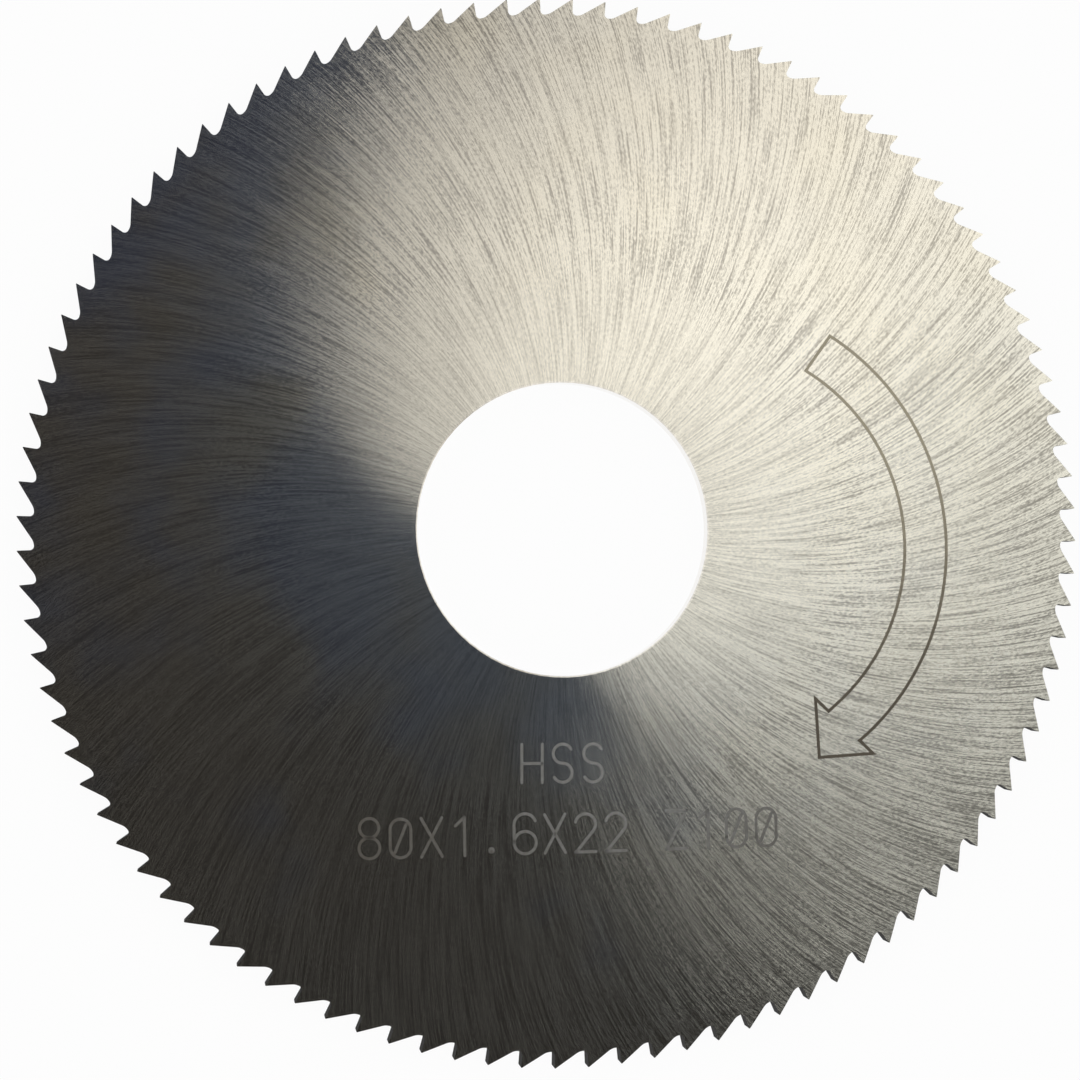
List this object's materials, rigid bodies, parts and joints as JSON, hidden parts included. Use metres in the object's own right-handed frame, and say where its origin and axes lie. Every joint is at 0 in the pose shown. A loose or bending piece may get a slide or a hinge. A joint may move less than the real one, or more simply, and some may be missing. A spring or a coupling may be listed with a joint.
{
  "type": "slitting saw",
  "caption": "Thin round slitting saw of ground high-speed steel with fine radial-faced teeth all round its rim, dished sides and a plain arbor bore.",
  "frame": {"origin": "on the bore's axis, on the plane that the saw lies on", "axes": "+Z along the bore's axis, up through the upper side; +X through a tooth tip; seen from +Z the teeth cut clockwise"},
  "size_m": [0.08, 0.08, 0.0016],
  "materials": {
    "ground_steel": "ground, with fine arc-shaped grinding lines from the bore to the rim"
  },
  "bodies": {
    "root": {"saw_blade": "ground_steel"}
  },
  "joints": []
}
